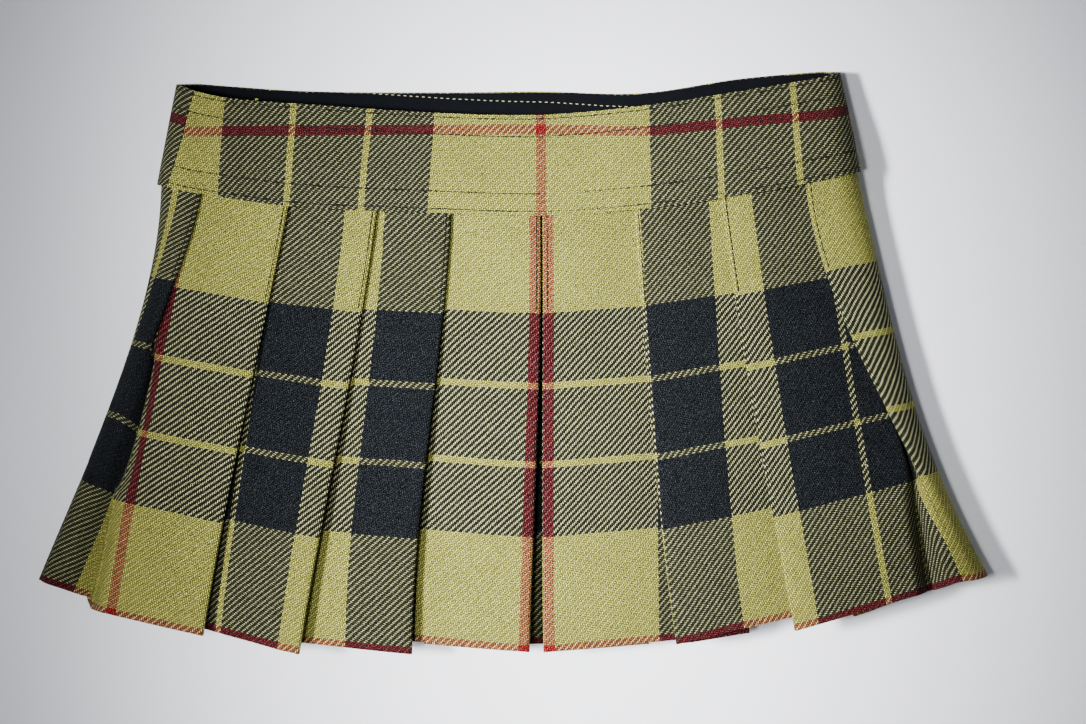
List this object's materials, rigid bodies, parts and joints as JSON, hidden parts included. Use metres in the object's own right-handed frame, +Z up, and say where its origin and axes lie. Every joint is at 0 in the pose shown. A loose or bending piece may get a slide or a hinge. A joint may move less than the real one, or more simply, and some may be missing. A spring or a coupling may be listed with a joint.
{
  "type": "pleated skirt",
  "caption": "Small pleated skirt in check cloth with a faced waistband, laid flat on its back with waist and hem open.",
  "frame": {"origin": "middle of the garment's outline, on the surface it lies on", "axes": "+X to the right and +Y towards the waist as it lies front up, +Z up off the surface"},
  "size_m": [0.3458, 0.2122, 0.0258],
  "materials": {
    "tartan": "napped wool twill, matt",
    "facing": "plain navy cloth, matt"
  },
  "bodies": {
    "root": {"skirt_front": "tartan", "skirt_back": "tartan", "waistband_front": "tartan", "waistband_back": "tartan", "waistband_facing": "facing"}
  },
  "joints": []
}
